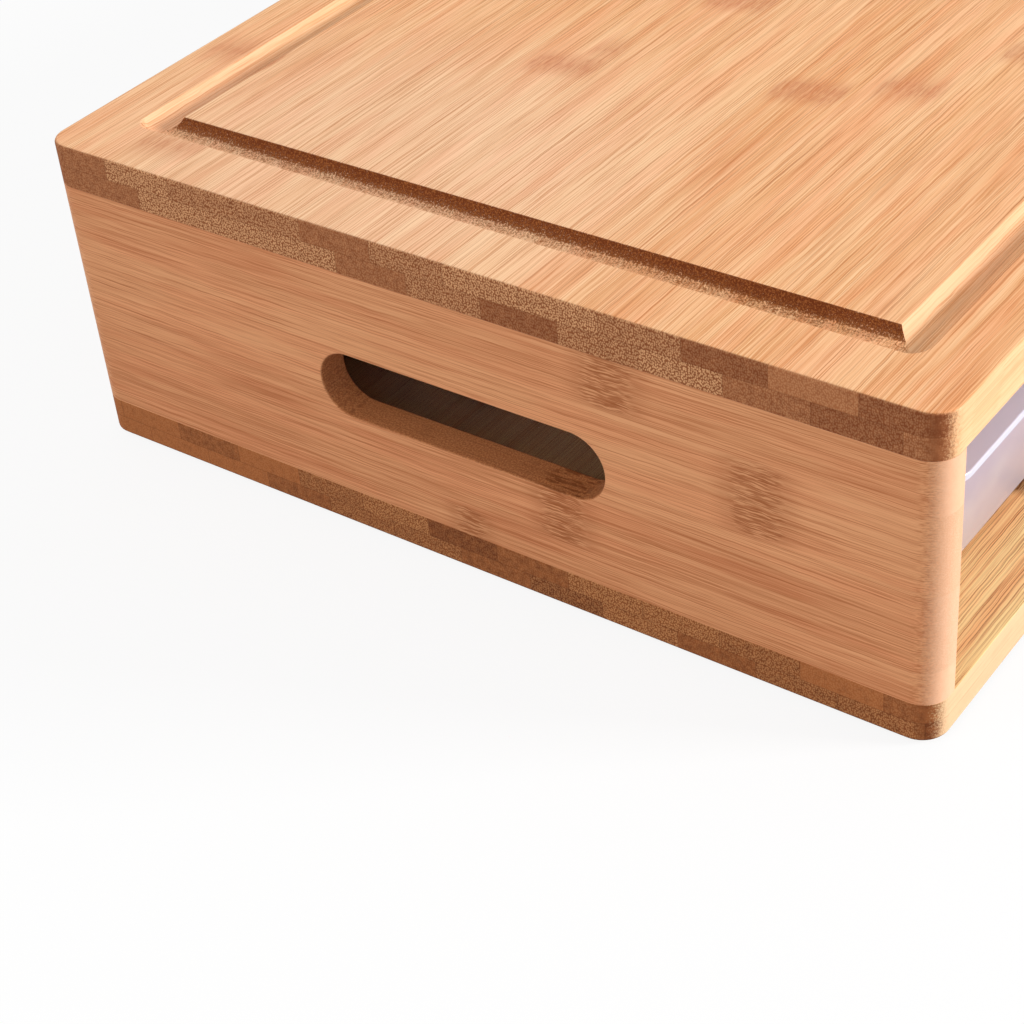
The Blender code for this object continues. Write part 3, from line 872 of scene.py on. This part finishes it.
def drawer_plastic(front, bottom, top):
    """Clear moulded plastic with a faint lilac tint and soft flow marks, milky at its front and rim."""
    material, graph, shader = new_material("clear_plastic")
    place = graph.place()
    flow = graph.stretched_noise(place, (0.03, 0.03, 0.05))
    smudge = graph.stretched_noise(place, (0.04, 0.04, 0.05))
    _, across, height = graph.split(place)
    rim = graph.span(height, top - 2.4, top - 1.8, 0.0, 0.4)
    milky = graph.larger(graph.span(across, front + 1.5, front - 1.5), rim)
    rise = graph.scaled(graph.less(flow, 0.5), 30.0, height)
    tint = graph.blend(flow, *(srgb(*value) for value in PLASTIC_TINTS))
    # Painted light and shade on the milky front: lighter low down, darker high up
    milky_with_painted_light = graph.blend(graph.span(rise, bottom, top), srgb(*MILKY_LOW_BOUNCE_LIGHT), srgb(*MILKY_HIGH_SHADE))
    milky_with_painted_light = graph.blend(graph.span(smudge, 0.42, 0.7, 0.0, 0.28), milky_with_painted_light, srgb(*SMUDGE_TINT))
    # Painted light: the pull lip is milky plastic painted lighter than the rest of the front
    milky_with_painted_light = graph.blend(graph.span(across, front - 2.2, front - 2.8), milky_with_painted_light, srgb(*LIP_PAINTED_LIGHT_TINT))
    graph.put(shader.inputs["Base Color"], graph.blend(milky, tint, milky_with_painted_light))
    rough = graph.span(smudge, 0.35, 0.75, 0.03, 0.12)
    graph.put(shader.inputs["Roughness"], graph.scaled(milky, 0.10, rough))
    transmission = graph.scaled(milky, MILKY_TRANSMISSION, CLEAR_TRANSMISSION)
    graph.put(shader.inputs["Transmission Weight"], transmission)
    graph.put(shader.inputs["Alpha"], graph.scaled(milky, MILKY_ALPHA, CLEAR_ALPHA))
    shader.inputs["IOR"].default_value = PLASTIC_IOR
    graph.bump(shader, flow, *PLASTIC_BUMP)
    return material


def foot_rubber():
    """Dark rubber, matt, with fine moulding grain and patches of dusty wear."""
    material, graph, shader = new_material("dark_rubber")
    place = graph.place()
    grain = graph.noise(place, scale=4.0, detail=3.0, roughness=0.65)
    dust = graph.span(graph.noise(place, scale=0.5, detail=3.0), 0.45, 0.75)
    colour = graph.blend(grain, *(srgb(*value) for value in RUBBER_TINTS))
    graph.put(shader.inputs["Base Color"], graph.blend(graph.times(dust, 0.35), colour, srgb(*DUST_TINT)))
    graph.put(shader.inputs["Roughness"], graph.scaled(dust, 0.2, 0.62))
    graph.bump(shader, grain, *FINE_BUMP)
    return material


def dowel_wood():
    """Plain pale hardwood with upright grain."""
    material, graph, shader = new_material("raw_dowel_wood")
    place = graph.place()
    grain = graph.stretched_noise(place, (2.4, 2.4, 0.12), detail=3.0, roughness=0.6)
    pores = graph.span(graph.stretched_noise(place, (9.0, 9.0, 0.5), detail=1.0), 0.6, 0.7)
    colour = graph.blend(graph.span(grain, 0.3, 0.7), *(srgb(*value) for value in DOWEL_TINTS))
    graph.put(shader.inputs["Base Color"], graph.blend(graph.times(pores, 0.5), colour, srgb(*PORE_TINT)))
    graph.put(shader.inputs["Roughness"], graph.scaled(grain, 0.2, 0.55))
    graph.bump(shader, pores, *FINE_BUMP)
    return material


# How far the boards' marks lean, and the marks as (along, across, half length, half width) in millimetres
# and how strong
MARK_SLANT = -0.18
TOP_MARKS = (
    (-117, 120, 12, 6.5, 0.7),
    (-118, 106, 10, 3.5, 1.0),
    (122, 115, 10, 10.8, 1.0),
    (-166, 96.5, 11, 10.8, 0.7),
    (70, 97, 8, 10.8, 1.0),
    (-20, 76, 8, 10.8, 1.0),
    (35, 54, 8, 10.8, 1.0),
    (-83.5, 31.5, 9, 10.8, 1.0),
    (-71, 26, 12, 5, 0.6),
    (150, 31, 8, 10.8, 1.0),
    (-30, 10, 10, 10.8, 1.0),
    (60, -11, 8, 10.8, 1.0),
    (-68.5, -33, 10, 10.6, 1.0),
    (-56, -55, 12, 9.5, 0.75),
    (-24, -76, 10, 10.8, 1.0),
    (90, -98, 8, 10.8, 1.0),
    (20, -119, 8, 9.0, 1.0),
)
BASE_MARKS = (
    # The first is a small, strong dark patch on the base's front, by the first drawer's foot
    (-94, -110, 6, 5, 1.0),
    (60, -98, 8, 10.8, 0.42),
    (-10, -55, 8, 10.8, 0.42),
    (120, -11, 8, 10.8, 0.42),
    (-130, 31, 8, 10.8, 0.42),
    (20, 97, 8, 10.8, 0.42),
)
LEFT_MARKS = (
    (-45, 74.5, 14, 11, 1.0),
    (-83.5, 54, 14, 12, 1.0),
    (-29.5, 29.5, 13, 9.5, 1.0),
    (-0.5, 15, 10, 6.5, 0.9),
    (-84, 30, 38, 9, 0.34),
)
RIGHT_MARKS = (
    (60, 75, 10, 10, 1.0),
    (-30, 54, 10, 11, 1.0),
    (88, 30.5, 10, 10, 1.0),
    (20, 14, 8, 8, 0.9),
)
BACK_MARKS = (
    (-120, 75, 10, 10, 1.0),
    (-20, 54, 10, 10, 1.0),
    (110, 54, 9, 10, 0.9),
    (40, 31, 9, 10, 1.0),
    (-90, 14, 8, 8, 0.9),
)
DIVIDER_MARKS = ((-60, 54, 9, 10, 1.0), (40, 75, 9, 9, 1.0), (80, 31, 9, 10, 0.9))

# Height of the joint between a board's two layers, the lower one's offset in strips, and the strips' ends
TOP_PLIES = (85.0, 0.477, "dldsffsbssfb", "bdbfsdsbfffbb")
BASE_PLIES = (6.5, 0.454, "bblsffbdfslbll", "ddssbfkbssblll")

# The hand slot in millimetres: half its straight part, its height and the radius of its ends
SLOT_WALLS = (33.45, 45.5, 9.3)

# The juice groove in millimetres: the height of its lips, and x and y of its inner lips
GROOVE_LIPS = (91.0, 152.94, 104.24)

# Colours as on the photograph in plain light, save the painted light and shade noted below, and how strong
# each part of the grain is
LOOK_TINTS = (
    "pale",
    "deep",
    "line",
    "edge",
    "mark",
    "end_pale",
    "end_light",
    "end_deep",
    "end_gap",
    "scorch_and_shade",
    "scorch_and_shade_pale",
    "routed_and_shaded",
    "routed_and_shaded_pale",
)
BOARD_LOOK = {
    "pale": (255, 206, 156),
    "deep": (236, 168, 110),
    "line": (184, 108, 56),
    "edge": (240, 198, 150),
    "edge_pale": 0.6,
    "pale_patch": (-155.0, 45.0, 91.0),
    "pale_patch_strength": 0.22,
    "mark": (190, 100, 58),
    "stroke": 4.5,
    "wander": 1.2,
    "stain": 0.38,
    "brush": 0.5,
    "gleam": 0.2,
    "end_pale": (248, 188, 136),
    "end_light": (186, 117, 74),
    "end_deep": (140, 76, 42),
    "end_gap": (106, 52, 22),
    "spots": 1.0,
    "end_glue": 0.35,
    "end_from": 0.22,
    "end_range": 0.55,
    "scatter": 0.9,
    "turn_shade": 0.0,
    # Dark colours of the groove and slot: scorch, partly painted shade
    "scorch_and_shade": (109, 50, 14),
    "scorch_and_shade_pale": (186, 118, 64),
    # Colours of the slot's walls: router scorch, partly painted shade
    "routed_and_shaded": (164, 92, 46),
    "routed_and_shaded_pale": (200, 128, 76),
    "fineness": 1.0,
    "underside_shade": 0.0,
    "hairs": 3.4,
    "hair_lines": 0.5,
    "streaks": 0.45,
    "clouds": 1.0,
    "strips": 0.3,
    "warmth": 0.7,
    "lines": 0.78,
}
BASE_LOOK = dict(
    BOARD_LOOK,
    pale=(255, 226, 160),
    deep=(242, 176, 116),
    line=(150, 72, 24),
    edge=(230, 192, 152),
    # Painted shade along the base's lower edge
    underside_shade=0.7,
    edge_pale=0.85,
    mark=(96, 46, 16),
    stain=0.7,
    brush=0.9,
    end_pale=(220, 156, 102),
    end_light=(188, 113, 64),
    end_deep=(124, 66, 34),
    end_gap=(90, 44, 20),
    pale_patch_strength=0.0,
    streaks=1.0,
    hairs=1.8,
    lines=0.85,
    hair_lines=0.75,
)
# The panels' faces are painted darker than the boards', partly as shade, and their end grain far lighter than
# the boards' end grain, partly as painted light
PANEL_LOOK = dict(
    BOARD_LOOK,
    pale=(242, 175, 125),
    deep=(205, 132, 86),
    line=(168, 96, 54),
    edge=(236, 188, 150),
    mark=(154, 82, 38),
    stroke=5.5,
    wander=6.0,
    stain=0.42,
    brush=0.7,
    pale_patch_strength=0.0,
    gleam=0.6,
    end_pale=(255, 214, 180),
    end_light=(251, 198, 161),
    end_deep=(246, 189, 150),
    end_gap=(196, 144, 108),
    end_glue=0.0,
    end_from=0.28,
    end_range=0.7,
    spots=0.6,
    scatter=0.4,
    # Painted shade where the panels' rounded corners turn
    turn_shade=0.2,
    fineness=1.3,
    hair_lines=0.35,
    streaks=0.28,
    clouds=0.65,
    warmth=0.5,
    lines=0.36,
)


def panel_bamboo(name, grain, marks, seed, slot=None):
    return bamboo(f"{name}_bamboo_look", grain, 2, PANEL_SEAM, PANEL_LOOK, marks, seed, slot=slot)


def make_object():
    top_wood = bamboo(
        "top_bamboo_look",
        0,
        1,
        TOP_SEAM,
        BOARD_LOOK,
        TOP_MARKS,
        1.0,
        slant=MARK_SLANT,
        plies=TOP_PLIES,
        groove=GROOVE_LIPS,
    )
    base_wood = bamboo(
        "base_bamboo_look", 0, 1, BASE_SEAM, BASE_LOOK, BASE_MARKS, 2.0, slant=MARK_SLANT, plies=BASE_PLIES
    )
    left_wood = panel_bamboo("left", 1, LEFT_MARKS, 3.0, SLOT_WALLS)
    right_wood = panel_bamboo("right", 1, RIGHT_MARKS, 4.0, SLOT_WALLS)
    back_wood = panel_bamboo("back", 0, BACK_MARKS, 5.0)
    divider_wood = panel_bamboo("divider", 1, DIVIDER_MARKS, 6.0)

    top_low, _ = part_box("top_board")
    _, base_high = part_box("base_board")
    bottom, top = base_high.z, top_low.z
    piece("top_board_look", top_board_mesh(), top_wood, "box", "top_bamboo", "top_board")
    piece("base_board_look", base_board_mesh(), base_wood, "box", "base_bamboo", "base_board")
    for node, outward, wood in (("left_side_panel", -1, left_wood), ("right_side_panel", 1, right_wood)):
        mesh = side_panel_mesh(node, outward, bottom, top)
        piece(f"{node}_look", mesh, wood, "box", "side_bamboo", node)
    for node, wood, slot in (
        ("back_panel", back_wood, "back_bamboo"),
        ("divider_1", divider_wood, "divider_bamboo"),
        ("divider_2", divider_wood, "divider_bamboo"),
    ):
        low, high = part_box(node)
        low.z, high.z = bottom, top
        piece(f"{node}_look", plain_board_mesh(node, low, high, SOFT_EDGE), wood, "box", slot, node)
    low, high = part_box("drawer_1")
    plastic = drawer_plastic((low.y + PULL_LIP_DEPTH + DRAWER_WALL) * 1000, low.z * 1000, high.z * 1000)
    for index in (1, 2, 3):
        node = f"drawer_{index}"
        piece(f"{node}_look", drawer_mesh(node), plastic, node, "drawer_plastic", node)
    rubber = foot_rubber()
    for node in FEET:
        piece(f"{node}_look", foot_mesh(node), rubber, "box", "foot_rubber", node)
    wood = dowel_wood()
    for name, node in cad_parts.items():
        if name.startswith("dowel_"):
            node.data.materials.clear()
            node.data.materials.append(wood)


def outside_rays(graph):
    """1 for camera, glossy and transmission rays, which see the plain white background."""
    path = graph.add("LightPath")
    seen = graph.larger(path.outputs["Is Camera Ray"], path.outputs["Is Glossy Ray"])
    return graph.larger(seen, path.outputs["Is Transmission Ray"])


def make_stage():
    mesh = bpy.data.meshes.new("floor")
    corners = [(x * FLOOR_REACH, y * FLOOR_REACH, 0) for x, y in ((-1, -1), (1, -1), (1, 1), (-1, 1))]
    mesh.from_pydata(corners, [], [(0, 1, 2, 3)])
    floor = bpy.data.objects.new("floor", mesh)
    bpy.context.scene.collection.objects.link(floor)
    material, graph, shader = new_material("studio_floor")
    seen = outside_rays(graph)
    for_light, for_view = ((shade, shade, shade, 1.0) for shade in FLOOR_SHADES)
    graph.put(shader.inputs["Base Color"], graph.blend(seen, for_light, for_view))
    shader.inputs["Roughness"].default_value = FLOOR_ROUGHNESS
    shader.inputs["Specular IOR Level"].default_value = 0.0
    shader.inputs["Emission Color"].default_value = WHITE
    graph.put(shader.inputs["Emission Strength"], graph.times(seen, FLOOR_GLOW))
    mesh.materials.append(material)

    world = bpy.data.worlds.new("studio")
    bpy.context.scene.world = world
    world.use_nodes = True
    world.node_tree.nodes.clear()
    graph = Graph(world.node_tree)
    strength = graph.scaled(outside_rays(graph), BACKGROUND - AMBIENT, AMBIENT)
    sky = graph.add("Background", {"Color": WHITE, "Strength": strength})
    graph.add("OutputWorld", {"Surface": sky.outputs[0]})


def make_lamps():
    for name, direction, distance, size, power in (
        ("soft_key", KEY_DIRECTION, KEY_DISTANCE, KEY_SIZE, KEY_POWER),
        ("soft_fill", FILL_DIRECTION, FILL_DISTANCE, FILL_SIZE, FILL_POWER),
    ):
        lamp = bpy.data.lights.new(name, "AREA")
        lamp.shape = "SQUARE"
        lamp.size = size
        lamp.energy = power
        holder = bpy.data.objects.new(name, lamp)
        towards = Vector(direction).normalized()
        holder.location = towards * distance
        holder.rotation_euler = towards.to_track_quat("Z", "Y").to_euler()
        bpy.context.scene.collection.objects.link(holder)


def make_camera():
    lens = bpy.data.cameras.new("camera")
    lens.sensor_width = SENSOR_WIDTH
    lens.lens = CAMERA_LENS
    lens.clip_start = NEAREST_SEEN
    camera = bpy.data.objects.new("camera", lens)
    camera.location = CAMERA_PLACE
    camera.rotation_euler = [math.radians(angle) for angle in CAMERA_TURN]
    bpy.context.scene.collection.objects.link(camera)
    bpy.context.scene.camera = camera


make_camera()
make_lamps()
make_stage()
make_object()
bpy.context.scene.view_settings.view_transform = "Standard"
